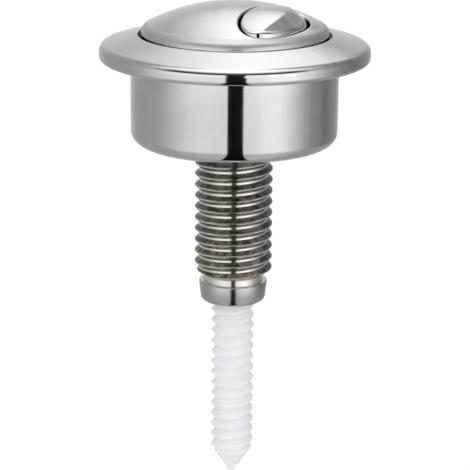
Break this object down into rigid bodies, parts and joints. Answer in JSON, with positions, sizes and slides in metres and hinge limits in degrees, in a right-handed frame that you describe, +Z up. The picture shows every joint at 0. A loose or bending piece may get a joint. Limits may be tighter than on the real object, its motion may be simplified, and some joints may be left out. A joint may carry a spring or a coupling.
{
  "type": "dual flush button",
  "caption": "Round chrome cistern lid button: a domed full-flush button with an oval half-flush button set in it, a flanged cup, a hollow threaded shank and an adjustable push rod.",
  "frame": {"origin": "on the button's axis, in the plane of the flange's underside, which sits on the cistern lid", "axes": "+Z up along the button's axis, out of the cistern; +X towards the small button's centre"},
  "size_m": [0.048, 0.048, 0.0882],
  "materials": {
    "chrome": "polished",
    "nickel": "bright nickel",
    "nylon": "natural nylon",
    "acetal": "moulded",
    "steel": "drawn"
  },
  "bodies": {
    "housing": {"bezel": "chrome", "cup": "chrome", "shank": "nickel", "shank_washer": "steel", "shank_nut": "nickel", "large_spring": "steel"},
    "large_button": {"large_button": "chrome", "retaining_plate": "acetal", "plate_screws": "steel", "small_spring": "steel"},
    "small_button": {"small_button": "chrome", "rod_carrier": "acetal", "small_button_screws": "steel", "push_rod": "nylon"}
  },
  "joints": [
    {"name": "large_press", "type": "slide", "parent": "housing", "child": "large_button", "axis": [0, 0, -1], "range_m": [0, 0.005], "stiffness_N_per_m": 800, "springref_m": -0.008, "deforming": ["large_spring"]},
    {"name": "small_press", "type": "slide", "parent": "large_button", "child": "small_button", "axis": [0, 0, -1], "range_m": [0, 0.003], "stiffness_N_per_m": 600, "springref_m": -0.006, "deforming": ["small_spring"]}
  ]
}
